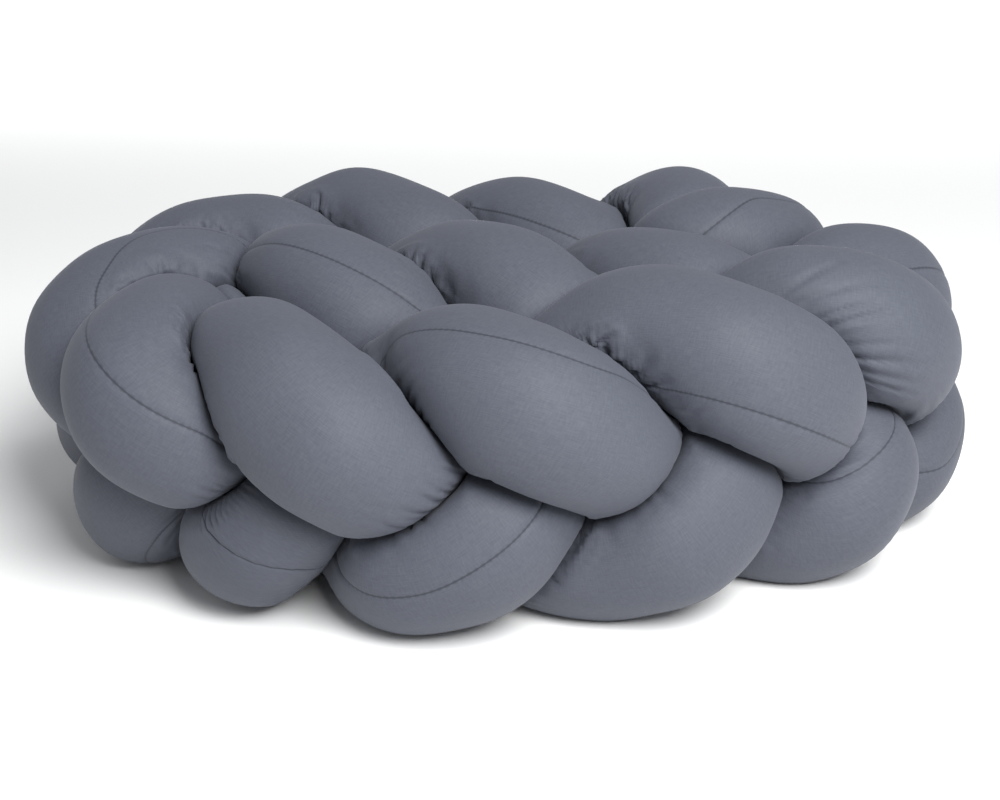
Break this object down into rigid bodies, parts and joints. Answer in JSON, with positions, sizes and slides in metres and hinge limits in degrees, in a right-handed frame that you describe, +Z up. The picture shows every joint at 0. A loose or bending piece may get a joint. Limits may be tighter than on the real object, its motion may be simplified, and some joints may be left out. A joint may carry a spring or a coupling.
{
  "type": "braided crib bumper",
  "caption": "Braided crib bumper of stuffed cotton tubes, stood on its edge and rolled up into an oval.",
  "frame": {"origin": "the middle of the rolled braid's footprint, on the floor", "axes": "+X along the roll's length, -Y towards the front row of the roll, +Z up"},
  "size_m": [0.7338, 0.5144, 0.2484],
  "materials": {
    "cotton": "matt plain-woven slate grey cotton"
  },
  "bodies": {
    "root": {"braid_tube_a": "cotton", "braid_tube_b": "cotton", "braid_tube_c": "cotton"}
  },
  "joints": []
}
